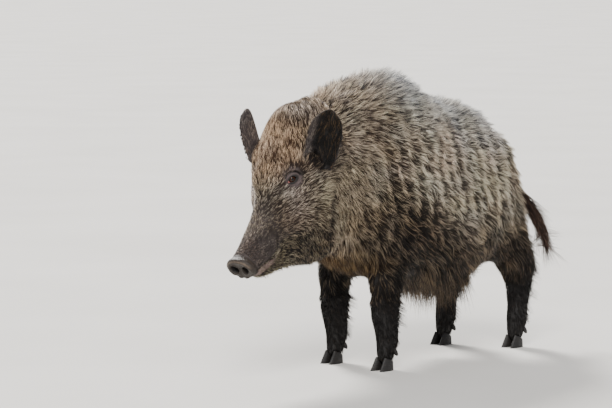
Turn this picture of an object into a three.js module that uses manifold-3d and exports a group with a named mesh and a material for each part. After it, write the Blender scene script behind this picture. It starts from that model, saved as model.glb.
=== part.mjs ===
// A wild boar standing with its head lowered, life size, as closed solids of its outer form, coat included.
// Millimetres, +Z up. The animal faces -X, its left side is at -Y, and it stands on its hooves at Z = 0.
// All places are given from a point on the floor under the shoulders. The last lines move the whole animal so
// that the origin is on the floor under the middle of its length and width.
import * as THREE from "three";
import { mergeVertices } from "three/addons/utils/BufferGeometryUtils.js";
import Module from "manifold-3d";

const wasm = await Module();
wasm.setup();

// ---------------------------------------------------------------- driving dimensions
const GAP = 0.4; // between neighbouring solids
const LEFT = -1;
const RIGHT = 1;
const SIDES = [
  [LEFT, "left"],
  [RIGHT, "right"],
];

// The head hangs from the neck: its muzzle axis points forward and down, turned a little to the left.
const HEAD_PITCH = THREE.MathUtils.degToRad(40);
const HEAD_YAW = THREE.MathUtils.degToRad(4);
const SNOUT = { x: -800, y: -14, z: 345 }; // centre of the back of the snout disc

// Places on the head, in its own frame: back from the snout, out from the middle, up from the muzzle axis.
const EYE = { back: 270, out: 53, up: 80, radius: 15 };
const EAR = { back: 352, out: { left: 116, right: 105 }, up: 96, length: 132, width: 104, wall: 7 };
const MOUTH_CORNER = { back: 128, up: -16 };
const DISC = { half: 46, tall: 34, thick: 15 };

// Where the body is divided. Section planes are square to the muzzle as far back as FAN_START, then fan
// out to upright at x = FAN_END, and stay upright from there on.
const FAN_START = 190;
const FAN_END = -430;
const HEAD_SHARE = 0.85; // of the fan, that is head
const NECK_END = -300;
const CHEST_END = -40;
const BARREL_END = 190;
const RUMP_DOME_START = 270;

// Where each leg meets the floor, and how high its joints are.
const FEET = {
  fore_left: { x: -272, y: -98 },
  fore_right: { x: -256, y: 106 },
  hind_left: { x: 362, y: -104 },
  hind_right: { x: 270, y: 102 },
};
const ELBOW_HEIGHT = 372;
const KNEE_HEIGHT = 208;
const STIFLE_HEIGHT = 425;
const HOCK_HEIGHT = 226;
const FETLOCK_HEIGHT = 86;
const HOOF = { length: 62, width: 27, toe: 40, heel: 24, apart: 15.5 };
const DEWCLAW = { length: 34, radius: 9.5, apart: 21, height: 52 };

// ---------------------------------------------------------------- curves and fields
const V = (x, y, z) => new THREE.Vector3(x, y, z);
const { clamp, lerp } = THREE.MathUtils;
const bothSides = (make) => SIDES.map(([side]) => make(side));

// A smooth function of x through the given stations, with no overshoot.
function curveThrough(xs, ys) {
  const last = xs.length - 1;
  const rise = (i) => (ys[i + 1] - ys[i]) / (xs[i + 1] - xs[i]);
  const slope = xs.map((_, i) => {
    if (i === 0 || i === last) return rise(i ? last - 1 : 0);
    const [a, b] = [rise(i - 1), rise(i)];
    return a * b <= 0 ? 0 : (2 * a * b) / (a + b);
  });
  return (x) => {
    const at = clamp(x, xs[0], xs[last]);
    let i = 0;
    while (i < last - 1 && at > xs[i + 1]) i++;
    const h = xs[i + 1] - xs[i];
    const t = (at - xs[i]) / h;
    const [t2, t3] = [t * t, t * t * t];
    return (
      (2 * t3 - 3 * t2 + 1) * ys[i] +
      (t3 - 2 * t2 + t) * h * slope[i] +
      (3 * t2 - 2 * t3) * ys[i + 1] +
      (t3 - t2) * h * slope[i + 1]
    );
  };
}

// A body of egg-shaped sections along x. Each station is [x, top, bottom, half width].
// low shifts the widest level below the middle, and blunt squares the section off.
function sectionBody(stations, { low = 0, blunt = 2.2 } = {}) {
  const column = (k) => stations.map((s) => s[k]);
  const [top, bottom, half] = [1, 2, 3].map((k) => curveThrough(column(0), column(k)));
  const [start, end] = [stations[0][0], stations[stations.length - 1][0]];
  return (p) => {
    const [t, b, w] = [top(p.x), bottom(p.x), half(p.x)];
    const tall = (t - b) / 2;
    const level = (p.z - (t + b) / 2) / tall;
    const across = p.y / (w * (1 - low * clamp(level, -1, 1)));
    const share = (Math.abs(across) ** blunt + Math.abs(level) ** blunt) ** (1 / blunt);
    return Math.max((share - 1) * Math.min(w, tall), start - p.x, p.x - end);
  };
}

// An ellipsoid, its long axes turned by pitch about the side axis.
function mass(centre, radii, pitch = 0) {
  const [c, s] = [Math.cos(pitch), Math.sin(pitch)];
  return (p) => {
    const [dx, dy, dz] = [p.x - centre.x, p.y - centre.y, p.z - centre.z];
    const [x, y, z] = [c * dx + s * dz, dy, c * dz - s * dx];
    const k0 = Math.hypot(x / radii.x, y / radii.y, z / radii.z);
    const k1 = Math.hypot(x / radii.x ** 2, y / radii.y ** 2, z / radii.z ** 2);
    return k1 < 1e-9 ? -Math.min(radii.x, radii.y, radii.z) : (k0 * (k0 - 1)) / k1;
  };
}

// One tapered round bone between two joints, each { at, r }. slim narrows it from side to side.
function bone(a, b, slim) {
  const along = b.at.clone().sub(a.at);
  return (p) => {
    const t = clamp(p.clone().sub(a.at).dot(along) / along.lengthSq(), 0, 1);
    const off = p.clone().sub(a.at).addScaledVector(along, -t);
    return Math.hypot(off.x, off.y * slim, off.z) - lerp(a.r, b.r, t);
  };
}

// Masses melted into one another over about the given width.
const melt = (fields, width) => (p) => {
  const near = fields.map((f) => f(p));
  const least = Math.min(...near);
  return least - width * Math.log(near.reduce((sum, d) => sum + Math.exp((least - d) / width), 0));
};
const limb = (joints, slim, width) => melt(joints.slice(1).map((b, i) => bone(joints[i], b, slim)), width);

// ---------------------------------------------------------------- the head's own frame
// In it, x runs back from the snout along the muzzle, z is up from the muzzle and y is as in the body.
const headTurn = new THREE.Quaternion()
  .setFromAxisAngle(V(0, 0, 1), HEAD_YAW)
  .multiply(new THREE.Quaternion().setFromAxisAngle(V(0, 1, 0), -HEAD_PITCH));
const headMatrix = new THREE.Matrix4().compose(V(SNOUT.x, SNOUT.y, SNOUT.z), headTurn, V(1, 1, 1));
const headInverse = headMatrix.clone().invert();
const inHead = (field) => (p) => field(p.clone().applyMatrix4(headInverse));
const headPoint = (back, out, up) => V(back, out, up).applyMatrix4(headMatrix);

const skull = sectionBody(
  [
    [-4, 34, -31, 40],
    [45, 41, -34, 37],
    [115, 58, -44, 40],
    [175, 80, -58, 50],
    [235, 108, -76, 62],
    [290, 140, -88, 76],
    [350, 172, -92, 86],
    [400, 192, -92, 90],
    [450, 196, -85, 94],
  ],
  { low: 0.16, blunt: 2.25 },
);
const mandible = sectionBody(
  [
    [20, -32, -70, 27],
    [75, -22, -102, 34],
    [135, -10, -136, 47],
    [195, 0, -158, 64],
    [260, 0, -168, 80],
    [340, 0, -160, 88],
  ],
  { low: 0.05 },
);
const headParts = [
  skull,
  mandible,
  ...bothSides((s) => mass(V(258, s * 34, 106), V(42, 22, 22))), // brow
  ...bothSides((s) => mass(V(300, s * 74, -22), V(82, 42, 84))), // cheek and its ruff
  ...bothSides((s) => mass(V(112, s * 32, -14), V(60, 20, 30))), // upper lip
];

// ---------------------------------------------------------------- the trunk
const trunkBody = sectionBody(
  [
    [-440, 818, 330, 140],
    [-330, 850, 285, 176],
    [-230, 871, 262, 198],
    [-160, 872, 245, 208],
    [-90, 850, 226, 212],
    [-25, 804, 208, 214],
    [40, 789, 200, 212],
    [95, 784, 206, 208],
    [160, 777, 240, 200],
    [220, 754, 292, 186],
    [280, 698, 345, 160],
    [330, 628, 400, 125],
    [365, 562, 450, 80],
  ],
  { low: 0.18 },
);
// Each side's thigh goes with where its foot stands.
const haunch = (side, foot) => [
  mass(V(lerp(200, foot.x, 0.25), side * 96, 525), V(112, 84, 152)),
  mass(V(lerp(220, foot.x, 0.55), side * 102, 415), V(104, 68, 140), 0.15),
  mass(V(lerp(200, foot.x, 0.35), side * 102, 350), V(84, 56, 104)),
];
const trunkParts = [
  trunkBody,
  mass(V(-350, 0, 585), V(170, 168, 256)), // root of the neck
  mass(V(-500, 0, 585), V(150, 136, 226)), // neck
  mass(V(-575, 0, 575), V(100, 104, 200)), // behind the ears
  mass(V(-520, 0, 470), V(120, 104, 140)), // throat
  ...bothSides((s) => mass(V(-235, s * 118, 500), V(120, 78, 225), -0.15)), // shoulder
  ...bothSides((s) => mass(V(-228, s * 102, 335), V(76, 58, 84))), // top of the foreleg
  mass(V(60, 0, 245), V(84, 76, 82)), // brush under the belly
  ...haunch(LEFT, FEET.hind_left),
  ...haunch(RIGHT, FEET.hind_right),
];
const BODY_MELT = 13;
const flesh = melt([...headParts.map(inHead), ...trunkParts], BODY_MELT);

// ---------------------------------------------------------------- section planes
// Each is an origin, the direction the planes follow, and the sideways and upward directions in it.
const planeOf = (origin, turn) => ({
  origin,
  along: V(1, 0, 0).applyQuaternion(turn),
  side: V(0, 1, 0).applyQuaternion(turn),
  up: V(0, 0, 1).applyQuaternion(turn),
});
const planesBetween = (from, to, count, make) =>
  Array.from({ length: count + 1 }, (_, i) => make(lerp(from, to, i / count)));

// In the front of the head they are square to the muzzle, and in the trunk they are upright.
const UPRIGHT = new THREE.Quaternion();
const headAxisUp = curveThrough([0, 120, FAN_START], [0, -14, -22]);
const headPlane = (back) => planeOf(headPoint(back, 0, headAxisUp(back)), headTurn);
const trunkAxisUp = curveThrough([FAN_END, -300, -50, 200, 300], [575, 565, 530, 530, 545]);
const trunkPlane = (x) => planeOf(V(x, 0, trunkAxisUp(x)), UPRIGHT);

// Between them they fan out round a line under the throat.
function fanPlane(share) {
  const turn = headTurn.clone().slerp(UPRIGHT, share);
  const [pivotStart, pivotEnd] = [headPoint(FAN_START, 0, -230), V(FAN_END, 0, 225)];
  const lift = lerp(230 + headAxisUp(FAN_START), trunkAxisUp(FAN_END) - pivotEnd.z, share);
  const origin = pivotStart.lerp(pivotEnd, share).addScaledVector(V(0, 0, 1).applyQuaternion(turn), lift);
  return planeOf(origin, turn);
}

// Section planes along a curve, from one share of its length to another.
function curvePlanes(curve, from, to, count, upward) {
  return planesBetween(from, to, count, (u) => {
    const along = curve.getTangentAt(clamp(u, 0, 1));
    const side = upward.clone().cross(along).normalize();
    return { origin: curve.getPointAt(clamp(u, 0, 1)), along, side, up: along.clone().cross(side) };
  });
}
function smoothCurve(points) {
  const curve = new THREE.CatmullRomCurve3(points, false, "centripetal");
  curve.arcLengthDivisions = 600;
  return curve;
}

// ---------------------------------------------------------------- meshes
// A closed body of rings: the vertices of a sphere are moved to rings[row][column], its poles to the two ends.
function joinRings(rings, startPoint, endPoint) {
  const columns = rings[0].length;
  const rows = [[startPoint], ...rings, [endPoint]];
  const geometry = new THREE.SphereGeometry(1, columns, rows.length - 1);
  const position = geometry.attributes.position;
  for (let i = 0; i < position.count; i++) {
    const row = rows[Math.floor(i / (columns + 1))];
    const place = row[(i % (columns + 1)) % row.length];
    position.setXYZ(i, place.x, place.y, place.z);
  }
  return geometry;
}

// How far it is from origin to the field's surface along direction.
function reach(field, origin, direction) {
  const [step, most, halvings] = [8, 480, 11];
  const at = (d) => field(origin.clone().addScaledVector(direction, d));
  let far = step;
  while (far < most && at(far) < 0) far += step;
  let near = far - step;
  for (let i = 0; i < halvings; i++) {
    const middle = (near + far) / 2;
    if (at(middle) < 0) near = middle;
    else far = middle;
  }
  return near;
}

// The field's surface round a row of section planes. It ends flat, or in domes with some rows of their own.
function castLoft(field, planes, columns, { domeEnd = 0, grow = 0 } = {}) {
  const angles = Array.from({ length: columns }, (_, k) => (-2 * Math.PI * k) / columns);
  const onSurface = ({ origin }, direction) =>
    origin.clone().addScaledVector(direction, reach(field, origin, direction) + grow);
  const cast = (plane, tilt) =>
    angles.map((angle) =>
      onSurface(
        plane,
        V(0, 0, 0)
          .addScaledVector(plane.side, Math.cos(angle) * Math.cos(tilt))
          .addScaledVector(plane.up, Math.sin(angle) * Math.cos(tilt))
          .addScaledVector(plane.along, Math.sin(tilt)),
      ),
    );
  const last = planes[planes.length - 1];
  const tilts = Array.from({ length: domeEnd }, (_, i) => ((i + 1) / (domeEnd + 1)) * (Math.PI / 2));
  const rings = [...planes.map((plane) => cast(plane, 0)), ...tilts.map((tilt) => cast(last, tilt))];
  return joinRings(rings, planes[0].origin, domeEnd ? onSurface(last, last.along) : last.origin);
}

// Booleans, on geometries whose equal vertices are merged.
function solidOf(geometry) {
  const bare = geometry.clone();
  for (const name of ["normal", "uv"]) bare.deleteAttribute(name);
  const merged = mergeVertices(bare, 1e-3);
  return new wasm.Manifold(
    new wasm.Mesh({
      numProp: 3,
      vertProperties: new Float32Array(merged.attributes.position.array),
      triVerts: new Uint32Array(merged.index.array),
    }),
  );
}
function geometryOf(solid) {
  const mesh = solid.getMesh();
  return new THREE.BufferGeometry()
    .setAttribute("position", new THREE.BufferAttribute(mesh.vertProperties, 3))
    .setIndex(new THREE.BufferAttribute(mesh.triVerts, 1));
}
// Cuts the tools out of a geometry. Slivers that come loose are left out.
function cut(geometry, ...tools) {
  const left = tools.reduce((solid, tool) => solid.subtract(solidOf(tool)), solidOf(geometry));
  return geometryOf(left.decompose().reduce((a, b) => (a.volume() > b.volume() ? a : b)));
}
const keep = (geometry, region) => geometryOf(solidOf(geometry).intersect(solidOf(region)));

// ---------------------------------------------------------------- materials
const material = (color, roughness) => new THREE.MeshStandardMaterial({ color, roughness, metalness: 0 });
const COAT = material(0x6f6253, 0.85);
const DARK_COAT = material(0x2a2523, 0.85);
const SNOUT_SKIN = material(0x4c423c, 0.5);
const EYE_GLOSS = material(0x120c08, 0.08);
const HORN = material(0x25211e, 0.45);

const boar = new THREE.Group();
function add(name, geometry, look) {
  const mesh = new THREE.Mesh(geometry, look);
  mesh.name = name;
  boar.add(mesh);
}

// ---------------------------------------------------------------- head, neck and trunk
const HEAD_COLUMNS = 32;
const TRUNK_COLUMNS = 28;
const RUMP_DOME = 6;
const FAN_GAP = 0.0015; // of the fan, leaves the gap between head and neck
const headPlanes = [
  ...planesBetween(0, FAN_START, 11, headPlane),
  ...planesBetween(0, HEAD_SHARE, 11, fanPlane).slice(1),
];
const trunkPlanes = {
  neck: [
    ...planesBetween(HEAD_SHARE + FAN_GAP, 1, 2, fanPlane),
    ...planesBetween(FAN_END, NECK_END - GAP, 3, trunkPlane).slice(1),
  ],
  chest: planesBetween(NECK_END, CHEST_END - GAP, 6, trunkPlane),
  barrel: planesBetween(CHEST_END, BARREL_END - GAP, 5, trunkPlane),
  rump: planesBetween(BARREL_END, RUMP_DOME_START, 2, trunkPlane),
};
for (const [name, planes] of Object.entries(trunkPlanes))
  add(name, castLoft(flesh, planes, TRUNK_COLUMNS, { domeEnd: name === "rump" ? RUMP_DOME : 0 }), COAT);
const trunkTool = castLoft(flesh, Object.values(trunkPlanes).flat(), TRUNK_COLUMNS, {
  domeEnd: RUMP_DOME,
  grow: GAP,
});
const wholeHead = castLoft(flesh, headPlanes, HEAD_COLUMNS);
const headTool = castLoft(flesh, headPlanes, HEAD_COLUMNS, { grow: GAP });

// The lower jaw is everything of the head below the mouth and in front of the throat.
function jawRegion(inset) {
  const [front, lipLine, wide, deep] = [-30, -33, 160, -240];
  const hinge = { back: 235, up: -60 };
  const throatBack = 262;
  const outline = new THREE.Shape([
    new THREE.Vector2(front, lipLine - inset),
    new THREE.Vector2(MOUTH_CORNER.back, MOUTH_CORNER.up - inset),
    new THREE.Vector2(hinge.back - inset, hinge.up - inset),
    new THREE.Vector2(throatBack - inset, deep),
    new THREE.Vector2(front, deep),
  ]);
  return new THREE.ExtrudeGeometry(outline, { depth: 2 * wide, bevelEnabled: false })
    .translate(0, 0, -wide)
    .rotateX(Math.PI / 2)
    .applyMatrix4(headMatrix);
}

// An eyeball, and the socket round it, which opens outward and a little forward.
const eyeCentre = (side) => headPoint(EYE.back, side * EYE.out, EYE.up);
function eyeball(side, grow = 0) {
  const { x, y, z } = eyeCentre(side);
  return new THREE.SphereGeometry(EYE.radius + grow, 14, 8).translate(x, y, z);
}
function eyeSocket(side) {
  const [depth, flare, into] = [46, 9, 2];
  const centre = eyeCentre(side);
  const outward = headPoint(EYE.back - 22, side * (EYE.out + 60), EYE.up + 4).sub(centre).normalize();
  return new THREE.CylinderGeometry(EYE.radius + flare, EYE.radius + 2 * GAP, depth, 14)
    .translate(0, depth / 2 - into, 0)
    .applyQuaternion(new THREE.Quaternion().setFromUnitVectors(V(0, 1, 0), outward))
    .translate(centre.x, centre.y, centre.z);
}
const eyeCuts = bothSides((side) => [eyeball(side, GAP), eyeSocket(side)]).flat();
add("head", cut(wholeHead, jawRegion(0), ...eyeCuts), COAT);
add("lower_jaw", keep(wholeHead, jawRegion(GAP)), COAT);
for (const [side, name] of SIDES) add("eye_" + name, eyeball(side), EYE_GLOSS);

// ---------------------------------------------------------------- ears
// A cupped leaf. Each row is a loop: across the hollow inside face and back along the outside face.
const EAR_SPREAD = { left: 0.2, right: 0.4 }; // outward lean from upright
const EAR_LEAN = 0.1; // backward lean
const EAR_TURN = { left: 0.66, right: 1.25 }; // how far the hollow is turned out from straight ahead
function earLeaf() {
  const [rows, columns, root] = [8, 9, -34];
  // Broad up to a blunt, rounded tip.
  const halfWidth = (t) => (EAR.width / 2) * (0.72 + 0.75 * t - 0.5 * t * t) * Math.sqrt(1 - 0.85 * t ** 6);
  const point = (t, turn, outside) => {
    const cup = lerp(0.95, 0.6, t);
    const wide = halfWidth(t) / Math.sin(cup);
    const wall = outside * EAR.wall * lerp(1.2, 0.5, t) * Math.sqrt(1 - turn * turn);
    const angle = turn * cup;
    return V(
      wide - (wide + wall) * Math.cos(angle),
      (wide + wall) * Math.sin(angle),
      lerp(root, EAR.length, t) * (1 - 0.06 * turn * turn),
    );
  };
  const turns = Array.from({ length: columns }, (_, k) => -1 + (2 * k) / columns);
  const loop = (t) => [...turns.map((turn) => point(t, turn, 1)), ...turns.map((turn) => point(t, -turn, 0))];
  const rings = Array.from({ length: rows + 1 }, (_, i) => loop(i / rows));
  const middle = (ring) => ring.reduce((sum, p) => sum.add(p), V(0, 0, 0)).divideScalar(ring.length);
  return joinRings(rings, middle(rings[0]), middle(rings[rows]).setZ(EAR.length + 3));
}
function ear(side, name) {
  const { x, y, z } = headPoint(EAR.back, side * EAR.out[name], EAR.up);
  return earLeaf()
    .rotateZ(Math.PI - side * EAR_TURN[name])
    .rotateY(EAR_LEAN)
    .rotateX(-side * EAR_SPREAD[name])
    .translate(x, y, z);
}
for (const [side, name] of SIDES) add("ear_" + name, cut(ear(side, name), headTool, trunkTool), DARK_COAT);

// ---------------------------------------------------------------- snout disc
// An oval pad across the end of the muzzle, its face a little dished, with two round nostrils.
function snoutDisc() {
  const chamfer = 3;
  const nostril = { out: 15, wide: 8, narrow: 5, deep: 14 };
  const outline = new THREE.Shape();
  outline.absellipse(0, 0, DISC.half - chamfer, DISC.tall - chamfer, 0, 2 * Math.PI);
  const plate = new THREE.ExtrudeGeometry(outline, {
    depth: DISC.thick - 2 * chamfer,
    bevelThickness: chamfer,
    bevelSize: chamfer,
    bevelSegments: 2,
    curveSegments: 10,
  }).translate(0, 0, chamfer);
  const nostrils = bothSides((side) =>
    new THREE.CylinderGeometry(nostril.wide, nostril.narrow, nostril.deep, 10)
      .rotateX(Math.PI / 2)
      .translate(side * nostril.out, 1, DISC.thick),
  );
  return cut(plate, ...nostrils)
    .rotateX(Math.PI / 2)
    .rotateZ(-Math.PI / 2)
    .translate(-GAP, 0, 2)
    .applyMatrix4(headMatrix);
}
add("snout_disc", snoutDisc(), SNOUT_SKIN);

// ---------------------------------------------------------------- tail
const tailCurve = smoothCurve([
  V(318, 0, 592),
  V(360, -2, 584),
  V(412, -14, 535),
  V(450, -34, 484),
  V(480, -62, 440),
  V(505, -84, 385),
  V(534, -102, 300),
]);
const tailRadius = curveThrough([0, 0.3, 0.55, 0.78, 0.93], [33, 28, 26, 30, 20]);
const tailJoints = planesBetween(0, 0.93, 6, (u) => ({ at: tailCurve.getPointAt(u), r: tailRadius(u) }));
const wholeTail = castLoft(limb(tailJoints, 1, 3), curvePlanes(tailCurve, 0, 0.93, 8, V(0, 1, 0)), 10, {
  domeEnd: 3,
});
add("tail", cut(wholeTail, trunkTool), COAT);

// ---------------------------------------------------------------- legs
// The joints of a leg, from the body down. Everything is placed from where the foot stands.
function legJoints(foot, isFore) {
  const joint = (back, height, r, inward = 0) => ({
    at: V(foot.x + back, foot.y - Math.sign(foot.y) * inward, height),
    r,
  });
  const upper = isFore
    ? [
        joint(30, ELBOW_HEIGHT + 50, 84, 6),
        joint(18, ELBOW_HEIGHT - 20, 72, 2),
        joint(6, KNEE_HEIGHT + 70, 54),
        joint(2, KNEE_HEIGHT, 46),
        joint(4, KNEE_HEIGHT - 50, 41),
        joint(8, FETLOCK_HEIGHT + 34, 33),
      ]
    : [
        joint(-66, STIFLE_HEIGHT + 10, 66, 6),
        joint(-44, STIFLE_HEIGHT - 75, 72, 2),
        joint(-2, HOCK_HEIGHT + 50, 62),
        joint(18, HOCK_HEIGHT, 47),
        joint(20, HOCK_HEIGHT - 50, 38),
        joint(15, FETLOCK_HEIGHT + 34, 30),
      ];
  return [...upper, joint(12, FETLOCK_HEIGHT, 30), joint(6, 60, 25), joint(1, 42, 23)];
}

// One claw of a hoof: a pointed sole, blunt at the heel, drawn up and back to the coronet.
function hoofClaw(foot, side, grow = 0) {
  const { length, width, toe, heel, apart } = HOOF;
  const [long, half] = [length + 2 * grow, width / 2 + grow];
  const [narrowing, shortening, drawnBack, splay, toeOut] = [0.2, 0.42, 0.38, 0.07, 12];
  const sole = new THREE.Shape();
  sole.moveTo(0, -half * 0.12);
  sole.bezierCurveTo(long * 0.2, -half * 0.95, long * 0.55, -half * 1.05, long * 0.8, -half * 0.95);
  sole.bezierCurveTo(long * 1.05, -half * 0.8, long * 1.05, half * 0.8, long * 0.8, half * 0.95);
  sole.bezierCurveTo(long * 0.55, half * 1.05, long * 0.2, half * 0.95, 0, half * 0.12);
  const claw = new THREE.ExtrudeGeometry(sole, { depth: 1, steps: 2, bevelEnabled: false, curveSegments: 4 });
  const position = claw.attributes.position;
  for (let i = 0; i < position.count; i++) {
    const up = position.getZ(i);
    const back = position.getX(i) / long;
    position.setXYZ(
      i,
      (back * (1 - shortening * up) + drawnBack * up) * long - grow,
      position.getY(i) * (1 - narrowing * up),
      up * (lerp(toe, heel, clamp(back, 0, 1)) + grow) - (1 - up) * grow,
    );
  }
  return claw
    .translate(-length / 2, 0, 0)
    .rotateZ(-side * splay)
    .translate(foot.x - toeOut, foot.y + side * apart, 0);
}

// A small claw behind and above the hoof, clear of the floor.
function dewclaw(foot, side, grow = 0) {
  const { length, radius, apart, height } = DEWCLAW;
  const [behind, backward, outward] = [33, 0.5, 0.25];
  return new THREE.SphereGeometry(1, 8, 5)
    .rotateX(Math.PI / 2)
    .scale(radius + grow, radius * 0.8 + grow, length / 2 + grow)
    .rotateY(-backward)
    .rotateX(side * outward)
    .translate(foot.x + behind, foot.y + side * apart, height);
}

const LEG_COLUMNS = 12;
for (const [place, foot] of Object.entries(FEET)) {
  const isFore = place.startsWith("fore");
  const joints = legJoints(foot, isFore);
  const curve = smoothCurve(joints.map((joint) => joint.at));
  const field = limb(joints, 1.12, 5);
  const divide = isFore ? KNEE_HEIGHT + 10 : HOCK_HEIGHT + 20;
  const [top, bottom] = [joints[0].at.z, joints[joints.length - 1].at.z];
  const share = (top - divide) / (top - bottom);
  const forward = V(-1, 0, 0);
  const upper = castLoft(field, curvePlanes(curve, 0, share, 7, forward), LEG_COLUMNS);
  const lowerPlanes = curvePlanes(curve, share + GAP / curve.getLength(), 1, 9, forward);
  const lower = castLoft(field, lowerPlanes, LEG_COLUMNS, { domeEnd: 2 });
  const claws = [LEFT, RIGHT].flatMap((side) => [hoofClaw(foot, side, GAP), dewclaw(foot, side, GAP)]);
  add("leg_" + place, cut(upper, trunkTool), COAT);
  add("foot_" + place, cut(lower, ...claws), DARK_COAT);
  for (const [side, name] of SIDES) {
    add("hoof_" + place + "_" + name, hoofClaw(foot, side), HORN);
    add("dewclaw_" + place + "_" + name, dewclaw(foot, side), HORN);
  }
}

const middle = new THREE.Box3().setFromObject(boar).getCenter(V(0, 0, 0));
boar.position.set(-middle.x, -middle.y, 0);

export default boar;
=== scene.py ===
"""A life-size wild boar in winter coat, standing: one skin, eyes, hooves and a coat of solid tufts.

Metres, +Z up. The animal faces -X, its left side is at -Y and it stands at Z = 0.
Places on the body are given from a point on the floor under the shoulders, SHIFT away from the row's origin.
"""

import math

import bmesh
import bpy
import numpy as np
from mathutils import Matrix, Vector
from mathutils.bvhtree import BVHTree
from mathutils.kdtree import KDTree


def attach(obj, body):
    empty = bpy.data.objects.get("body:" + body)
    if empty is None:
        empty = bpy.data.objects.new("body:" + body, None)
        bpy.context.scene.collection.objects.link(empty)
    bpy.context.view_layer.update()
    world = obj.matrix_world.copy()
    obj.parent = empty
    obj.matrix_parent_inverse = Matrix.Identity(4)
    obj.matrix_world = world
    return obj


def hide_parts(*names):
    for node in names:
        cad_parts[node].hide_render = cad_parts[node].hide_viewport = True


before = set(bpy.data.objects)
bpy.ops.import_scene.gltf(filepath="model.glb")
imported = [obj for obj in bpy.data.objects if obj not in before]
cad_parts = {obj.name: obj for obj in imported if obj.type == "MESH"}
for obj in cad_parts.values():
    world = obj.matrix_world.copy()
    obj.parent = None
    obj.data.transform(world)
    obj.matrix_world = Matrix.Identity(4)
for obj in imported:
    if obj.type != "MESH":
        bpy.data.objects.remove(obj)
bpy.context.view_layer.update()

rng = np.random.default_rng(20)

# ---- the animal's own measures
SHIFT = np.array([0.14418, 0.0, 0.0])
HEAD_PITCH = math.radians(40)
HEAD_YAW = math.radians(4)
SNOUT = np.array([-0.800, -0.014, 0.345]) + SHIFT
EYE = {"back": 0.270, "out": 0.053, "up": 0.080}
SIDES = {"left": -1, "right": 1}
FEET = ("fore_left", "fore_right", "hind_left", "hind_right")
TAIL = np.array([
    (0.318, 0, 0.592), (0.360, -0.002, 0.584), (0.412, -0.014, 0.535), (0.450, -0.034, 0.484),
    (0.480, -0.062, 0.440), (0.505, -0.084, 0.385), (0.534, -0.102, 0.300),
]) + SHIFT

head_turn = np.array(Matrix.Rotation(HEAD_YAW, 3, "Z") @ Matrix.Rotation(-HEAD_PITCH, 3, "Y"))
BACK, OUT, UP = head_turn[:, 0], head_turn[:, 1], head_turn[:, 2]


def in_head(p):
    """Points as (back from the snout, out to the animal's right, up from the nose line)."""
    return (p - SNOUT) @ head_turn


def from_head(back, out, up):
    return SNOUT + head_turn @ np.array([back, out, up])


# ---- small tools
def linear(r, g, b):
    """A colour as a screen shows it (0 to 255), as the light the shader wants."""
    c = np.array([r, g, b], float) / 255
    return np.where(c <= 0.04045, c / 12.92, ((c + 0.055) / 1.055) ** 2.4)


def step(low, high, x):
    """0 below low, 1 above high, smooth between."""
    t = np.clip((np.asarray(x, float) - low) / (high - low), 0, 1)
    return t * t * (3 - 2 * t)


def hill(centre, width, x):
    return np.exp(-(((np.asarray(x, float) - centre) / width) ** 2))


def mix(a, b, t):
    t = np.asarray(t, float)
    if np.ndim(t) == 1 and (np.ndim(a) == 2 or np.ndim(b) == 2 or np.shape(a) == (3,)):
        t = t[:, None]
    return a + (b - a) * t


def unit(v):
    return v / np.maximum(np.linalg.norm(v, axis=-1, keepdims=True), 1e-9)


def noise(p, size, seed):
    """Smooth value noise from -1 to 1 with features of that size."""
    q = p / size + seed * 17.31
    cell = np.floor(q).astype(np.int64)
    f = q - cell
    f = f * f * (3 - 2 * f)
    total = np.zeros(len(p))
    for dx in (0, 1):
        for dy in (0, 1):
            for dz in (0, 1):
                h = (cell[:, 0] + dx) * 73856093 ^ (cell[:, 1] + dy) * 19349663 ^ (cell[:, 2] + dz) * 83492791
                h = (h * 2654435761 + seed * 97) & 0xFFFFFFFF
                h = ((h ^ (h >> 15)) * 2246822519) & 0xFFFFFFFF
                h = (h ^ (h >> 13)) & 0xFFFF
                share = np.abs(1 - dx - f[:, 0]) * np.abs(1 - dy - f[:, 1]) * np.abs(1 - dz - f[:, 2])
                total += share * (h / 32767.5 - 1)
    return total


def read(items, key, width, kind=np.float32):
    """One property of all of a mesh's vertices, edges or triangles, as rows of an array."""
    values = np.empty(len(items) * width, kind)
    items.foreach_get(key, values)
    return values.reshape(-1, width)


def flat(values):
    return np.asarray(values, np.float32).ravel()


def coordinates(mesh):
    return read(mesh.vertices, "co", 3).astype(float)


def put_coordinates(mesh, co):
    mesh.vertices.foreach_set("co", flat(co))
    mesh.update()


def normals_of(mesh):
    return read(mesh.vertex_normals, "vector", 3).astype(float)


def edges_of(mesh):
    return read(mesh.edges, "vertices", 2, np.int32)


def triangles_of(mesh):
    mesh.calc_loop_triangles()
    return read(mesh.loop_triangles, "vertices", 3, np.int32)


def shade_smooth(mesh):
    mesh.polygons.foreach_set("use_smooth", np.ones(len(mesh.polygons), bool))


def put_marks(mesh, colour):
    """The colour of each vertex, with an alpha, as the attribute that the materials read."""
    data = mesh.color_attributes.new("Marks", "FLOAT_COLOR", "POINT").data
    data.foreach_set("color", flat(np.clip(colour, 0, 1)))


def away(p, place):
    """How far each point lies from a place."""
    return np.linalg.norm(p - place, axis=1)


def nearest_of(p, places):
    return np.argmin(np.linalg.norm(p[:, None] - places, axis=2), axis=1)


def oval(a, b, size):
    """0 in the middle of an oval and 1 on its edge. size is half its width and half its height."""
    return np.hypot(a / size[0], b / size[1])


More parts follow.
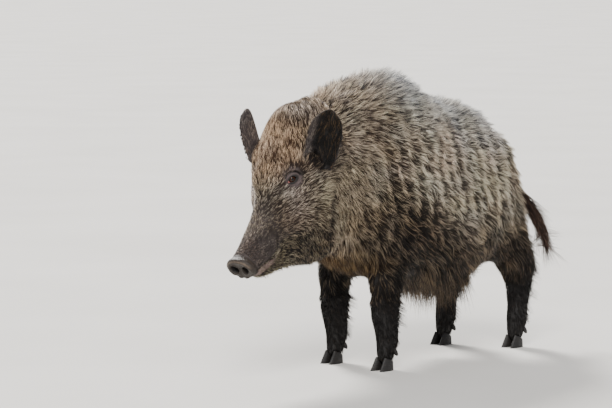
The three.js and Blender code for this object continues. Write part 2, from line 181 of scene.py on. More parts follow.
def smoothed(values, edges, rounds, weight=1.0, factor=0.6):
    """Each value drawn towards the mean of its neighbours, as often as rounds says, where weight is above 0."""
    values = np.array(values, float)
    single = values.ndim == 1
    if single:
        values = values[:, None]
    count = len(values)
    degree = np.maximum(np.bincount(edges.ravel(), minlength=count), 1)[:, None]
    pull = factor * (weight[:, None] if isinstance(weight, np.ndarray) else weight)
    a, b = edges[:, 0], edges[:, 1]
    for _ in range(rounds):
        total = np.empty_like(values)
        for k in range(values.shape[1]):
            total[:, k] = np.bincount(a, values[b, k], count) + np.bincount(b, values[a, k], count)
        values += pull * (total / degree - values)
    return values[:, 0] if single else values


def evened(values, edges, rounds, weight):
    """Smoothed, then pushed back out by as much, so that thin things keep their size."""
    for _ in range(rounds):
        values = smoothed(values, edges, 1, weight, 0.60)
        values = smoothed(values, edges, 1, weight, -0.63)
    return values


def new_object(name, data):
    obj = bpy.data.objects.new(name, data)
    bpy.context.scene.collection.objects.link(obj)
    return obj


def with_modifier(obj, kind, **settings):
    """The mesh that obj has with one modifier applied. obj is removed."""
    modifier = obj.modifiers.new(kind, kind)
    for key, value in settings.items():
        setattr(modifier, key, value)
    bpy.context.view_layer.update()
    made = bpy.data.meshes.new_from_object(obj.evaluated_get(bpy.context.evaluated_depsgraph_get()))
    bpy.data.objects.remove(obj)
    return made


def mesh_from(name, vertices, triangles):
    mesh = bpy.data.meshes.new(name)
    mesh.vertices.add(len(vertices))
    mesh.vertices.foreach_set("co", flat(vertices))
    mesh.loops.add(triangles.size)
    mesh.loops.foreach_set("vertex_index", triangles.astype(np.int32).ravel())
    mesh.polygons.add(len(triangles))
    mesh.polygons.foreach_set("loop_start", np.arange(0, triangles.size, triangles.shape[1], dtype=np.int32))
    mesh.update(calc_edges=True)
    return mesh


# ---- one skin from the nodes of flesh
FLESH = ["head", "lower_jaw", "snout_disc", "neck", "chest", "barrel", "rump", "tail", "ear_left", "ear_right"]
FLESH += [f"{kind}_{foot}" for kind in ("leg", "foot") for foot in FEET]
VOXEL = 0.0036
BRIDGE = 0.0007  # closes the cuts between neighbours
EAR_FILL = 0.0018  # keeps the thin ears whole in the remesh; the inset takes it off again
TRUNK_SHARE = 0.07  # of the remeshed triangles are kept under the long coat
SOCKET_FILL = 0.021  # a ball that fills each eye's socket, so that lids can be shaped over it


def welded(node):
    """The node's points with doubles merged, its triangles, and its outward normals."""
    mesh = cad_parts[node].data
    co, tri = coordinates(mesh), triangles_of(mesh)
    _, first, inverse = np.unique(np.round(co, 6), axis=0, return_index=True, return_inverse=True)
    co, tri = co[first], inverse.reshape(-1)[tri]
    tri = tri[(tri[:, 0] != tri[:, 1]) & (tri[:, 1] != tri[:, 2]) & (tri[:, 0] != tri[:, 2])]
    across = np.cross(co[tri[:, 1]] - co[tri[:, 0]], co[tri[:, 2]] - co[tri[:, 0]])
    n = np.zeros_like(co)
    for k in range(3):
        for axis in range(3):
            n[:, axis] += np.bincount(tri[:, k], across[:, axis], len(co))
    return co, tri, unit(n)


eye_centre = {side: from_head(EYE["back"], sign * EYE["out"], EYE["up"]) for side, sign in SIDES.items()}
points, faces, owner, total = [], [], [], 0
for index, node in enumerate(FLESH + ["eye_left", "eye_right"]):
    co, tri, n = welded(node)
    if index < len(FLESH):
        points.append(co + n * (EAR_FILL if node.startswith("ear") else BRIDGE))
    else:
        centre = co.mean(0)
        points.append(centre + unit(co - centre) * SOCKET_FILL)
    faces.append(tri + total)
    owner.append(np.full(len(tri), index))
    total += len(co)
points, faces, owner = np.concatenate(points), np.concatenate(faces), np.concatenate(owner)
label_tree = BVHTree.FromPolygons(points.tolist(), faces.tolist())
raw = new_object("raw", mesh_from("raw", points, faces))
skin_mesh = with_modifier(raw, "REMESH", mode="VOXEL", voxel_size=VOXEL, adaptivity=0)


def labels_at(co):
    """The index in FLESH of the CAD node nearest each point."""
    return np.array([owner[label_tree.find_nearest(p)[2]] for p in co.tolist()])


def belongs(label, *nodes):
    return np.isin(label, [FLESH.index(n) for n in nodes])


EARS = ("ear_left", "ear_right")
TRUNK = ("neck", "chest", "barrel", "rump")
PARTS = {
    "head": ["head", "snout_disc"], "jaw": ["lower_jaw"], "tail": ["tail"],
    "ear_left": ["ear_left"], "ear_right": ["ear_right"],
    "leg": ["leg_" + f for f in FEET], "foot": ["foot_" + f for f in FEET],
}
co = coordinates(skin_mesh)
edges = edges_of(skin_mesh)
label = labels_at(co)
is_ear = belongs(label, *EARS)
is_head = belongs(label, "head", "lower_jaw", "snout_disc") | (label >= len(FLESH))
is_disc = belongs(label, "snout_disc")
is_trunk = belongs(label, *TRUNK)
is_foot = belongs(label, *PARTS["foot"])

# The facets of the solids are smoothed away, most on the trunk, least on the thin ears and the disc.
slight = smoothed(is_ear | is_foot | is_disc, edges, 2)
co = evened(co, edges, 6, slight)
co = smoothed(co, edges, 24, np.clip(1 - slight * 1.2, 0, 1))
trunk_pull = smoothed(is_trunk, edges, 8)
co = smoothed(co, edges, 70, np.clip(trunk_pull, 0, 1) * 0.98)
put_coordinates(skin_mesh, co)


TAIL_HAIR = 0.012
BRISKET = 0.235  # below this height the trunk's solids are all hanging hair


def coat_depth(co, masks):
    """How deep the coat lies on the skin at each point."""
    x, z = co[:, 0] - SHIFT[0], co[:, 2]
    back, _, up = in_head(co).T
    depth = 0.023 + 0.016 * step(0.62, 0.84, z) * step(0.42, 0.1, x)
    depth += 0.045 * step(0.27, 0.20, z) * hill(0.05, 0.14, x)
    head = 0.0035 + 0.006 * step(0.14, 0.30, back) + 0.008 * step(0.30, 0.40, back) * step(0.02, -0.06, up)
    head = head * step(-0.01, 0.06, back)
    leg = 0.005 + 0.016 * step(0.24, 0.40, z)
    foot = 0.0012 + 0.0035 * step(0.08, 0.2, z)
    for part, deep in (("head", head), ("leg", leg), ("foot", foot), ("tail", TAIL_HAIR), ("ear", EAR_FILL)):
        depth = mix(depth, deep, masks[part])
    return depth


masks = {
    name: smoothed(flag, edges, rounds)
    for name, flag, rounds in (
        ("trunk", is_trunk, 60), ("head", is_head, 40), ("foot", is_foot, 40), ("ear", is_ear, 3),
        ("leg", belongs(label, *PARTS["leg"]), 50), ("tail", belongs(label, "tail"), 10),
    )
}
INSET_STEPS = 4
depth = coat_depth(co, masks)
for _ in range(INSET_STEPS):
    co = co - normals_of(skin_mesh) * (depth / INSET_STEPS)[:, None]
    co = smoothed(co, edges, 6, np.clip(masks["trunk"] + masks["leg"] - masks["foot"] - masks["ear"], 0, 1))
    co = evened(co, edges, 1, 0.4 + 0.6 * slight)
    brush = (co[:, 2] < BRISKET) & (masks["trunk"] > 0.5) & (masks["leg"] < 0.3)
    co[:, 2] = np.where(brush, BRISKET - 0.3 * (BRISKET - co[:, 2]), co[:, 2])
    put_coordinates(skin_mesh, co)

# The hair covers the step from head to neck; the skin below runs over it smoothly.
junction = np.clip(5.0 * masks["head"] * masks["trunk"], 0, 1) * (1 - masks["ear"])
co = smoothed(co, edges, 220, junction)
# The end of the tail is all hair, on a thin core.
knot = nearest_of(co, TAIL)
core = np.clip(masks["tail"] * 1.4, 0, 1) * mix(0.15, 0.80, step(0.25, 0.85, knot / (len(TAIL) - 1)))
co = mix(co, TAIL[knot], core * 0.7)
co = smoothed(co, edges, 4, masks["tail"])
put_coordinates(skin_mesh, co)

# Fewer triangles under the long coat, all of them kept on the head, ears and feet.
raw = new_object("thinned", skin_mesh)
group = raw.vertex_groups.new(name="thin")
thin = np.clip(1 - masks["head"] * 1.3 - masks["ear"] * 3 - masks["foot"] * 0.8 - masks["tail"], 0, 1)
LEVELS = 10
for level in range(1, LEVELS + 1):
    group.add(np.nonzero(np.round(thin * LEVELS) == level)[0].tolist(), level / LEVELS, "REPLACE")
# The ratio asks for all the triangles that are kept and a share of the others.
thin_faces = thin[triangles_of(skin_mesh)].mean(1)
asked = float(mix(1.0, TRUNK_SHARE, step(0.0, 0.35, thin_faces)).mean())
skin_mesh = with_modifier(raw, "DECIMATE", ratio=asked, vertex_group="thin", vertex_group_factor=1.0)

# ---- the face, shaped into the skin
EYE_AXIS = {}
for side, sign in SIDES.items():
    gaze = unit(-0.42 * BACK + 0.82 * sign * OUT + 0.38 * UP)
    along = 0.9 * BACK - 0.42 * UP
    along = unit(along - gaze * (along @ gaze))
    over = np.cross(gaze, along)
    EYE_AXIS[side] = (along, over * np.sign(over @ UP), gaze)
BALL = 0.0138
LID = 0.0158
OPENING = 0.0128  # half the width between the corners of the lids
FOLD = (0.0262, 0.0212)  # half the width and height of the fold round the lids
LIP_LINE = np.array([
    (-0.012, -0.024), (0.003, -0.017), (0.047, -0.027), (0.072, -0.035), (0.096, -0.024), (0.112, -0.003),
])
DISC = (0.0435, 0.0335)  # half the width and height of the snout's disc
NOSTRIL_OUT = 0.0185
NOSTRIL = (0.0108, 0.0128)


def in_eye(p, side):
    """Points as (along the lids, over them, out along the gaze), from the middle of an eye."""
    return [(p - eye_centre[side]) @ axis for axis in EYE_AXIS[side]]


def from_line(h, line):
    """Distance from points of the head to a line, seen from the side, and whether they lie above it."""
    p = h[:, [0, 2]]
    best, above = np.full(len(p), 9.0), np.zeros(len(p))
    for a, b in zip(line[:-1], line[1:]):
        t = np.clip(((p - a) @ (b - a)) / ((b - a) @ (b - a)), 0, 1)
        off = p - a - t[:, None] * (b - a)
        d = np.hypot(off[:, 0], off[:, 1])
        nearer = d < best
        best = np.where(nearer, d, best)
        above = np.where(nearer, np.sign(off[:, 1]), above)
    return best, above


def refine(mesh, chosen):
    """Each edge between two chosen vertices is split in half."""
    bm = bmesh.new()
    bm.from_mesh(mesh)
    bm.verts.ensure_lookup_table()
    cut = [e for e in bm.edges if chosen[e.verts[0].index] and chosen[e.verts[1].index]]
    bmesh.ops.subdivide_edges(bm, edges=cut, cuts=1)
    bmesh.ops.triangulate(bm, faces=[f for f in bm.faces if len(f.verts) > 3])
    bm.to_mesh(mesh)
    bm.free()
    mesh.update()


def face_zone(co, reach):
    """True where the face needs finer mesh, closer in when reach is small."""
    h = in_head(co)
    back, out, up = h.T
    lip, _ = from_line(h, LIP_LINE)
    zone = (lip < 0.014 * reach) & (np.abs(out) < 0.07) & (back < 0.13)
    zone |= (back < 0.05 * reach - 0.03) & (np.abs(out) < 0.06) & (up > -0.05)
    for side in SIDES:
        zone |= away(co, eye_centre[side]) < 0.026 + 0.012 * reach
    return zone


for reach in (1.6, 1.0):
    co = coordinates(skin_mesh)
    zone = face_zone(co, reach)
    refine(skin_mesh, zone)
    co = coordinates(skin_mesh)
    put_coordinates(skin_mesh, smoothed(co, edges_of(skin_mesh), 3, face_zone(co, reach)))

co = coordinates(skin_mesh)
h = in_head(co)
back, out, up = h.T
# The lips: a groove along the mouth, and a soft roll on either side of it.
lip, above = from_line(h, LIP_LINE)
at_mouth = (np.abs(out) > 0.006) * step(0.135, 0.115, back) * step(-0.03, -0.005, back)
groove = -0.0065 * hill(0, 0.0030, lip) + 0.0028 * hill(0.0075, 0.0045, lip) * (above < 0)
groove += 0.0018 * hill(0.0065, 0.004, lip) * (above > 0)
# Folds across the bridge of the nose, behind the disc.
bridge = step(0.0, 0.03, up) * step(0.006, 0.016, back) * step(0.085, 0.03, back)
wave = np.sin(back * 2 * math.pi / 0.0105 + 2.2 * noise(co, 0.03, 3) + 10 * np.abs(out))
groove = groove * at_mouth + 0.0009 * wave * bridge
co = co + normals_of(skin_mesh) * groove[:, None]

# The disc of the snout: a raised rim, a hollow face and two nostrils.
back, out, up = in_head(co).T
front = step(-0.001, -0.008, back)
spread = oval(out, up + 0.001, DISC)
push = -0.0026 * hill(0.90, 0.10, spread) + 0.0030 * step(0.75, 0.2, spread)
for sign in SIDES.values():
    tilted = out - sign * NOSTRIL_OUT - 0.25 * sign * (up - 0.001)
    hole = oval(tilted, up - 0.001, NOSTRIL)
    push += 0.017 * step(1.12, 0.55, hole) - 0.0022 * hill(1.32, 0.2, hole)
push += 0.0007 * noise(co, 0.006, 5)
co = co + BACK * (push * front)[:, None]

# Each eye: lids that wrap the ball, an almond opening, a fold above it and bags below.
for side, (_, _, gaze) in EYE_AXIS.items():
    a, b, c = in_eye(co, side)
    r = np.hypot(a, b)
    ring = (r > 0.027) & (r < 0.034) & (c > -0.012)
    plane = np.linalg.lstsq(np.c_[a[ring], b[ring], np.ones(ring.sum())], c[ring], rcond=None)[0]
    base = plane[0] * a + plane[1] * b + plane[2]
    base = base - 0.0025 * hill(0, 0.017, r)
    dome = np.sqrt(np.maximum(LID**2 - r**2, 0)) - 0.02 * step(LID * 0.9, LID * 1.1, r)
    soft = 0.0022
    top = soft * np.logaddexp(base / soft, dome / soft)
    fold = oval(a, b - 0.001, FOLD)
    top += (b > 0) * (-0.0036 * hill(1.0, 0.10, fold) + 0.0030 * hill(1.28, 0.16, fold)) * step(0.0, 0.007, b)
    top += (b < 0) * (-0.0013 * hill(0.86, 0.06, fold) - 0.0012 * hill(1.12, 0.07, fold)) * step(0.0, -0.006, b)
    top += 0.0003 * np.sin(fold * 34 + 5 * noise(co, 0.012, 8)) * step(0.6, 0.8, fold)
    half = np.where(b > 0, 0.0092, 0.0070) * (1 - np.clip(np.abs(a) / OPENING, 0, 1) ** 2)
    opened = step(0.0006, -0.0006, np.abs(b - 0.12 * a) - half) * (np.abs(a) < OPENING)
    inside = np.sqrt(np.maximum((BALL - 0.0022) ** 2 - r**2, 0))
    target = mix(top, inside, opened)
    share = step(0.034, 0.027, r) * (c > -0.016) * (away(co, eye_centre[side]) < 0.045)
    co = co + gaze * ((target - c) * share)[:, None]
put_coordinates(skin_mesh, co)

# ---- parts of the body, as soft masks on the skin
skin = new_object("skin", skin_mesh)
edges, tri = edges_of(skin_mesh), triangles_of(skin_mesh)
co = coordinates(skin_mesh)
RIDGE = 0.052  # from one ridge of locks to the next
RIDGE_HEIGHT = 0.0085


def ridge_place(p):
    """How far a point lies between two partings of the coat, 0 to 1: the ridge is half way."""
    swing = 0.90 * noise(p * [1, 1, 0.6], 0.14, 51) + 0.22 * noise(p, 0.055, 52) + 0.8 * noise(p, 0.34, 53)
    phase = (p[:, 0] + 0.16 * p[:, 2]) / RIDGE + swing
    return phase - np.floor(phase)


def ridge_share(p):
    """Where the ridges show: strongly on the flank, faintly on the neck and back."""
    x, z = p[:, 0] - SHIFT[0], p[:, 2]
    share = step(-0.48, -0.32, x) * step(0.36, 0.46, z) * (1 - 0.8 * step(0.64, 0.80, z))
    return share * (1 - 0.5 * step(0.34, 0.44, x))


free = 1 - smoothed(~belongs(labels_at(co), *TRUNK), edges, 8)
crest = hill(0.5, 0.18, ridge_place(co)) - 0.32
co = co + normals_of(skin_mesh) * (RIDGE_HEIGHT * crest * ridge_share(co) * free)[:, None]
put_coordinates(skin_mesh, co)
normal = normals_of(skin_mesh)
room = np.array([label_tree.find_nearest(p)[3] for p in co.tolist()])
room = smoothed(room, edges, 3)
# The ears grow out of thick fur, the crown is flat between them and the nape rises straight from it.
EAR_SWELL = {"left": 0.006, "right": 0.017}
RUMP_CORNER = [0.42, -0.06, 0.62]
swell = sum(EAR_SWELL[side] * hill(0, 0.036, away(co, from_head(0.325, sign * 0.094, 0.100)))
            for side, sign in SIDES.items())
swell -= 0.010 * hill(0, 0.055, away(co, from_head(0.345, 0.02, 0.150)))
swell -= 0.026 * hill(0, 0.052, away(co - SHIFT, [-0.515, 0.055, 0.785]))
swell -= 0.030 * hill(0, 0.095, away(co - SHIFT, RUMP_CORNER))
nape = hill(-0.470, 0.050, co[:, 0] - SHIFT[0]) * hill(-0.03, 0.06, co[:, 1])
nape = nape * step(0.2, 0.8, normal[:, 2]) * step(0.5, 0.6, co[:, 2])
swell += 0.019 * nape
on_ear = smoothed(belongs(labels_at(co), *EARS), edges, 3)
co = co + normal * (swell * (1 - np.clip(on_ear * 1.5, 0, 1)))[:, None]
put_coordinates(skin_mesh, co)
normal = normals_of(skin_mesh)
label = labels_at(co + normal * 0.004)
flags = {part: belongs(label, *nodes) for part, nodes in PARTS.items()}
flags["head"] |= label >= len(FLESH)
ROUNDS = {"head": 14, "jaw": 10, "tail": 3, "ear_left": 1, "ear_right": 1, "leg": 14, "foot": 12}
masks = {part: smoothed(flag, edges, ROUNDS[part]) for part, flag in flags.items()}
h = in_head(co)
back, out, up = h.T
x, y, z = co[:, 0] - SHIFT[0], co[:, 1], co[:, 2]
# The solid of the head runs down into the throat, where the coat is the neck's.
on_head = masks["head"] * np.maximum(step(-0.235, -0.165, up), step(0.22, 0.18, back))
on_jaw, on_tail, on_leg, on_foot = (masks[part] for part in ("jaw", "tail", "leg", "foot"))
head_share = np.maximum(on_head, on_jaw)
near_eye = np.minimum(*[away(co - eye_centre[s], EYE_AXIS[s][2] * 0.012) for s in SIDES])
EAR_TURN = {"left": 0.66, "right": 1.25}  # how far each hollow is turned out from straight ahead
# The hollow of each ear is painted near black: painted shade inside the ear.
ear_hollow_shade = {}
for side, sign in SIDES.items():
    facing = np.array([-math.cos(EAR_TURN[side]), sign * math.sin(EAR_TURN[side]), 0.0])
    ear_hollow_shade[side] = masks["ear_" + side] * step(-0.1, 0.35, normal @ facing)
# The front fold of the near ear is furred: its hollow starts behind it.
ear_foot = from_head(0.352, -0.116, 0.096)
across_ear = (co - ear_foot) @ np.array([0.616, -0.788, 0.0])  # as the camera sees it, to the right
up_ear = 0.06 - np.clip(co[:, 2] - ear_foot[2], 0, 0.12)
ear_hollow_shade["left"] = ear_hollow_shade["left"] * step(-0.026, -0.010, across_ear + 0.25 * up_ear)

wander = noise(co, 0.11, 31) * 0.6 + noise(co, 0.045, 32) * 0.4
on_top = step(0.35, 0.85, normal[:, 2]) * step(0.55, 0.66, z)
low = step(0.495, 0.365, z + 0.08 * wander + 0.06 * step(0.05, 0.3, x) - 0.085 * step(-0.12, -0.30, x))
very_low = step(0.35, 0.27, z) * step(-0.24, -0.12, x) * step(0.5, -0.2, normal[:, 2])
rear = step(0.24, 0.36, x)
neck = step(-0.22, -0.34, x)
throat = step(0.40, 0.31, z + 0.04 * wander) * step(-0.29, -0.36, x) * step(0.14, 0.08, np.abs(y))
high_face = step(0.075, 0.12, up) * step(0.17, 0.25, back)
crown = step(0.36, 0.42, back) * step(0.10, 0.15, up)
muzzle = step(0.23, 0.10, back)
nose_top = step(0.030, 0.044, up) * step(0.20, 0.08, back)
jowl = step(0.29, 0.34, back - 0.35 * up) * step(0.06, 0.0, up)
lower_cheek = step(0.0, -0.07, up) * step(0.09, 0.15, back) * step(0.30, 0.24, back) * 0.85
under_eye = hill(0.238, 0.024, back) * hill(0.058, 0.020, up)
bare_eye = step(0.037, 0.019, near_eye + 0.008 * noise(co, 0.014, 33) + 0.003 * wander)
bare_disc = step(0.012, 0.002, back) * head_share
ear_base = sum(step(0.055, 0.034, away(h, [0.345, sign * 0.112, 0.098])) for sign in SIDES.values())
lip_near, lip_above = from_line(h, LIP_LINE)
in_front = step(0.13, 0.10, back)
groove_line = np.array([(0.317, -0.003), (0.290, -0.028), (0.262, -0.075), (0.245, -0.120)])
groove_near, _ = from_line(h, groove_line)
# Painted shade: near-black hair along the groove line of the cheek.
cheek_groove_shade = hill(0, 0.009, groove_near) * (np.abs(out) > 0.07) * head_share
beside_groove = hill(0.026, 0.014, groove_near) * (np.abs(out) > 0.07) * step(-0.13, -0.10, up)
lower_lip = step(0.105, 0.06, back) * step(0.032, 0.023, lip_near) * (lip_above < 0) * (np.abs(out) > 0.008)
chin = in_front * on_jaw * step(-0.035, -0.055, up)

# Where each kind of coat lies, in order: a later one covers an earlier one by its share.
# Colours are as a screen shows them: skin, hair at the root, dark tips, pale tips. Then the share of pale tips,
# length and width in metres, height as a share of the coat's depth, and how many roots there are to a square metre.
KINDS = [
    ("flank", 1.0, (54, 48, 43), (50, 46, 43), (108, 96, 84), (252, 236, 211), 0.66, 0.042, 0.0021, 1.0, 63e3),
    # The back's bluish-grey skin, roots and dark tips are painted sky light on the top of the coat; its pale tips
    # are the coat's own colour.
    ("back", on_top, (56, 58, 64), (52, 54, 62), (122, 122, 126), (243, 239, 231), 0.72, 0.043, 0.0020, 1.40, 64e3),
    ("neck", neck * 0.8, (36, 29, 25), (32, 26, 23), (84, 70, 58), (236, 214, 186), 0.52, 0.043, 0.0021, 1.05, 63e3),
    ("rump", rear * 0.8, (46, 38, 32), (42, 35, 30), (92, 78, 65), (238, 216, 188), 0.60, 0.040, 0.0021, 1.0, 62e3),
    ("low", low, (17, 14, 12), (13, 10, 9), (34, 28, 24), (166, 146, 122), 0.24, 0.052, 0.0023, 1.05, 58e3),
    ("belly", very_low, (24, 19, 15), (18, 14, 11), (56, 46, 37), (156, 134, 108), 0.30, 0.136, 0.0025, 1.00, 56e3),
    ("throat", throat, (34, 25, 17), (26, 19, 13), (92, 68, 42), (182, 150, 100), 0.50, 0.068, 0.0024, 1.05, 62e3),
    ("leg", on_leg * step(0.46, 0.40, z), (16, 13, 13), (11, 9, 9), (26, 23, 22), (104, 93, 83), 0.08,
     0.040, 0.0024, 1.2, 56e3),
    ("foot", on_foot, (17, 14, 13), (12, 10, 10), (28, 24, 23), (72, 63, 57), 0.06, 0.017, 0.0016, 1.3, 70e3),
    ("feather", on_foot * step(0.0, 0.5, normal[:, 0]) * step(0.13, 0.09, z) * step(0.03, 0.045, z), (17, 14, 13),
     (12, 10, 10), (28, 24, 23), (84, 74, 66), 0.10, 0.036, 0.0018, 1.6, 95e3),
    ("cheek", on_head, (40, 33, 29), (30, 24, 21), (74, 62, 54), (222, 204, 180), 0.40, 0.019, 0.0014, 1.0, 180e3),
    ("forehead", on_head * high_face, (44, 32, 25), (30, 21, 16), (80, 57, 42), (238, 207, 174), 0.42,
     0.023, 0.0014, 1.0, 170e3),
    ("crown", on_head * crown, (36, 29, 25), (30, 24, 21), (80, 65, 55), (214, 192, 168), 0.36,
     0.028, 0.0016, 1.1, 130e3),
    ("jowl", on_head * jowl, (36, 29, 24), (28, 22, 18), (82, 68, 56), (236, 218, 188), 0.50,
     0.036, 0.0018, 1.2, 110e3),
    ("lower_cheek", on_head * lower_cheek, (28, 22, 20), (21, 17, 15), (52, 43, 38), (212, 194, 166), 0.30,
     0.026, 0.0015, 1.1, 130e3),
    ("jaw", on_jaw, (24, 19, 18), (16, 12, 12), (36, 30, 28), (190, 174, 146), 0.24, 0.021, 0.0014, 1.2, 140e3),
    ("muzzle", on_head * muzzle, (56, 47, 44), (40, 33, 31), (72, 62, 57), (160, 144, 131), 0.22,
     0.009, 0.0010, 0.8, 150e3),
    ("nose_top", on_head * nose_top * 0.8, (78, 68, 62), (50, 42, 38), (92, 80, 73), (222, 207, 190), 0.46,
     0.010, 0.0011, 0.9, 135e3),
    ("under_eye", on_head * under_eye, (80, 71, 66), (56, 49, 45), (106, 95, 88), (232, 220, 206), 0.55,
     0.013, 0.0012, 0.8, 160e3),
    ("beside_groove", beside_groove * on_head, (40, 33, 27), (32, 26, 21), (104, 89, 74), (232, 214, 184), 0.52,
     0.032, 0.0017, 1.1, 130e3),
    # Painted shade in the cheek groove.
    ("cheek_groove_shade", cheek_groove_shade * 0.75, (12, 9, 8), (10, 8, 7), (20, 16, 14), (92, 76, 62), 0.10,
     0.020, 0.0019, 0.7, 80e3),
    ("lower_lip", lower_lip, (114, 94, 88), (92, 76, 68), (104, 88, 76), (214, 200, 168), 0.55,
     0.010, 0.0010, 0.7, 62e3),
    ("chin", chin * (1 - lower_lip), (52, 42, 37), (34, 27, 24), (72, 60, 51), (206, 190, 152), 0.38,
     0.018, 0.0013, 1.2, 90e3),
    ("ear_base", ear_base * on_head, (24, 19, 17), (18, 14, 13), (44, 36, 32), (150, 128, 104), 0.16,
     0.022, 0.0014, 1.0, 120e3),
    ("ear", np.maximum(masks["ear_left"], masks["ear_right"]), (62, 55, 53), (42, 36, 35), (92, 82, 79),
     (156, 143, 132), 0.26, 0.018, 0.0012, 1.6, 130e3),
    # Painted shade in the hollows of the ears, with a few pale tips.
    ("ear_hollow_shade", np.maximum(ear_hollow_shade["left"], ear_hollow_shade["right"]), (14, 11, 10), (11, 9, 8), (22, 18, 16),
     (118, 93, 66), 0.11, 0.030, 0.0012, 1.8, 80e3),
    ("tail", on_tail, (32, 23, 19), (24, 17, 14), (54, 38, 31), (118, 92, 76), 0.30, 0.110, 0.0013, 1.0, 85e3),
    ("eyelid", np.where(on_head > 0.3, bare_eye, 0), (76, 64, 63), (46, 38, 36), (66, 57, 54), (176, 162, 150),
     0.34, 0.009, 0.0008, 0.5, 60e3),
    ("disc", bare_disc, (36, 27, 20), (46, 38, 34), (60, 50, 44), (120, 108, 98), 0.2, 0.003, 0.0007, 0.3, 0),
]
count = len(co)
colours, measures = [np.zeros((count, 3))] * 4, [np.zeros(count)] * 5
for _, share, *kind in KINDS:
    share = np.broadcast_to(np.clip(share, 0, 1), count)
    colours = [mix(so_far, linear(*new), share) for so_far, new in zip(colours, kind[:4])]
    measures = [mix(so_far, new, share) for so_far, new in zip(measures, kind[4:])]
skin_colour, root_colour, dark_tip, pale_tip = colours
pale_share, hair_length, hair_width, hair_height, hair_density = measures

# Marks that only the skin carries, and painted shade in the nostrils, the crease of the mouth and the folds round
# the eyes.
def paint(share, *rgb):
    skin_colour[:] = mix(skin_colour, linear(*rgb), share)


on_disc = bare_disc * step(0.004, -0.004, back)
upper_rim = on_disc * hill(1.0, 0.06, oval(out, up + 0.001, DISC)) * step(0.004, 0.016, up)
paint(upper_rim * 0.6, 104, 90, 77)
# The inside of each nostril is painted near black: painted shade in the hole.
for sign in SIDES.values():
    hole = oval(out - sign * NOSTRIL_OUT, up - 0.001, NOSTRIL)
    paint(on_disc * step(1.2, 0.9, hole), 10, 7, 6)
# Painted shade along the crease between the lips.
mouth_crease_shade = in_front * hill(0, 0.0046, lip_near) * (np.abs(out) > 0.01)
paint(np.clip(mouth_crease_shade * 1.1, 0, 1), 20, 15, 14)
for side in SIDES:
    a, b, c = in_eye(co, side)
    shown = (c > -0.01) * step(0.034, 0.028, np.hypot(a, b))
    rim = oval(a, b - 0.12 * a, (0.0148, 0.0100))
    paint(shown * step(1.42, 1.12, rim), 17, 12, 12)
    hair_density = hair_density * (1 - shown * step(2.15, 1.65, rim))  # no hair grows at the edge of the lids
    corner = oval(a + OPENING, b + 0.0022, (0.0042, 0.0030))
    paint(shown * step(1.2, 0.7, corner), 150, 92, 86)
    fold = oval(a, b - 0.001, FOLD)
    # Painted shade in the fold above the lids, and a fainter painted shade in the crease below them.
    paint(shown * hill(1.0, 0.15, fold) * step(0.001, 0.007, b), 16, 12, 12)
    paint(shown * hill(0.98, 0.07, fold) * step(-0.002, -0.008, b) * 0.35, 44, 34, 34)
skin_colour = skin_colour * (1 + 0.14 * noise(co, 0.02, 41) + 0.10 * noise(co, 0.006, 42))[:, None]

# ---- the lie of the coat
flow = np.tile([0.62, 0.0, -0.85], (count, 1))
for direction, share in (
    ((1.0, 0.0, -0.1), on_top),
    ((0.75, 0.0, -0.75), neck * (1 - on_top)),
    ((1.0, 0.0, -0.38), low * step(0.10, -0.05, x) * step(-0.34, -0.24, x)),
    ((0.8, 0.0, -0.75), low * step(-0.05, 0.10, x)),
    ((0.30, 0.0, -1.0), rear * (1 - on_top)),
    ((0.55, 0.0, -1.0), very_low),
    ((0.25, 0.0, -1.0), throat),
    ((0.42, 0.0, -1.0), np.maximum(on_leg, on_foot)),
):
    flow = mix(flow, direction, share)
face_flow = np.tile(BACK, (count, 1)) + 0.30 * np.sign(y)[:, None] * OUT
face_flow = mix(face_flow, (0.75, 0.0, -0.35), step(0.05, -0.04, up) * step(0.12, 0.26, back))
face_flow = mix(face_flow, 0.35 * BACK + UP, high_face * 0.85)
face_flow = mix(face_flow, (0.45, 0.0, -0.9), jowl)
flow = mix(flow, face_flow, head_share)
flow = mix(flow, (0.5, 0.0, -0.7), on_jaw * step(0.10, 0.2, back))
for side, sign in SIDES.items():
    flow = mix(flow, (0.0, 0.3 * sign, 1.0), masks["ear_" + side])
flow = mix(flow, unit(np.diff(TAIL, axis=0))[nearest_of(co, TAIL[:-1])], on_tail)


def along_skin(flow):
    return unit(flow - normal * (flow * normal).sum(1)[:, None])


flow = along_skin(smoothed(along_skin(flow), edges, 6))

# ---- roots
skin_tree = BVHTree.FromPolygons(co.tolist(), tri.tolist())
corner = co[tri]
area = np.linalg.norm(np.cross(corner[:, 1] - corner[:, 0], corner[:, 2] - corner[:, 0]), axis=1) / 2
THINNER = 1.0
expected = area * hair_density[tri].mean(1) * THINNER
n_roots = int(expected.sum())
chosen = rng.choice(len(tri), n_roots, p=expected / expected.sum())
r1, r2 = np.sqrt(rng.random(n_roots)), rng.random(n_roots)
bary = np.c_[1 - r1, r1 * (1 - r2), r1 * r2]


def at_roots(values):
    picked = values[tri[chosen]]
    return (picked * (bary if picked.ndim == 2 else bary[:, :, None])).sum(1)


root, root_n, t = at_roots(co), unit(at_roots(normal)), at_roots(flow)
length, width, height = map(at_roots, (hair_length, hair_width, hair_height))
pale_chance = at_roots(pale_share)
trunk_share = 1 - np.clip(at_roots(head_share + on_leg * 0.7 + on_foot + on_tail
                                   + masks["ear_left"] + masks["ear_right"]), 0, 1)
rx, rz = root[:, 0] - SHIFT[0], root[:, 2]
height = np.maximum(height * at_roots(room), 0.0012)
height *= 1 + 0.7 * hill(-0.50, 0.07, rx) * step(0.3, 0.8, root_n[:, 2]) * trunk_share
height *= 1 - 0.55 * hill(0, 0.11, away(root - SHIFT, RUMP_CORNER))
limb = at_roots(np.clip(on_leg + on_foot, 0, 1))
height = np.where(limb > 0.5, np.minimum(height, 0.013), height)

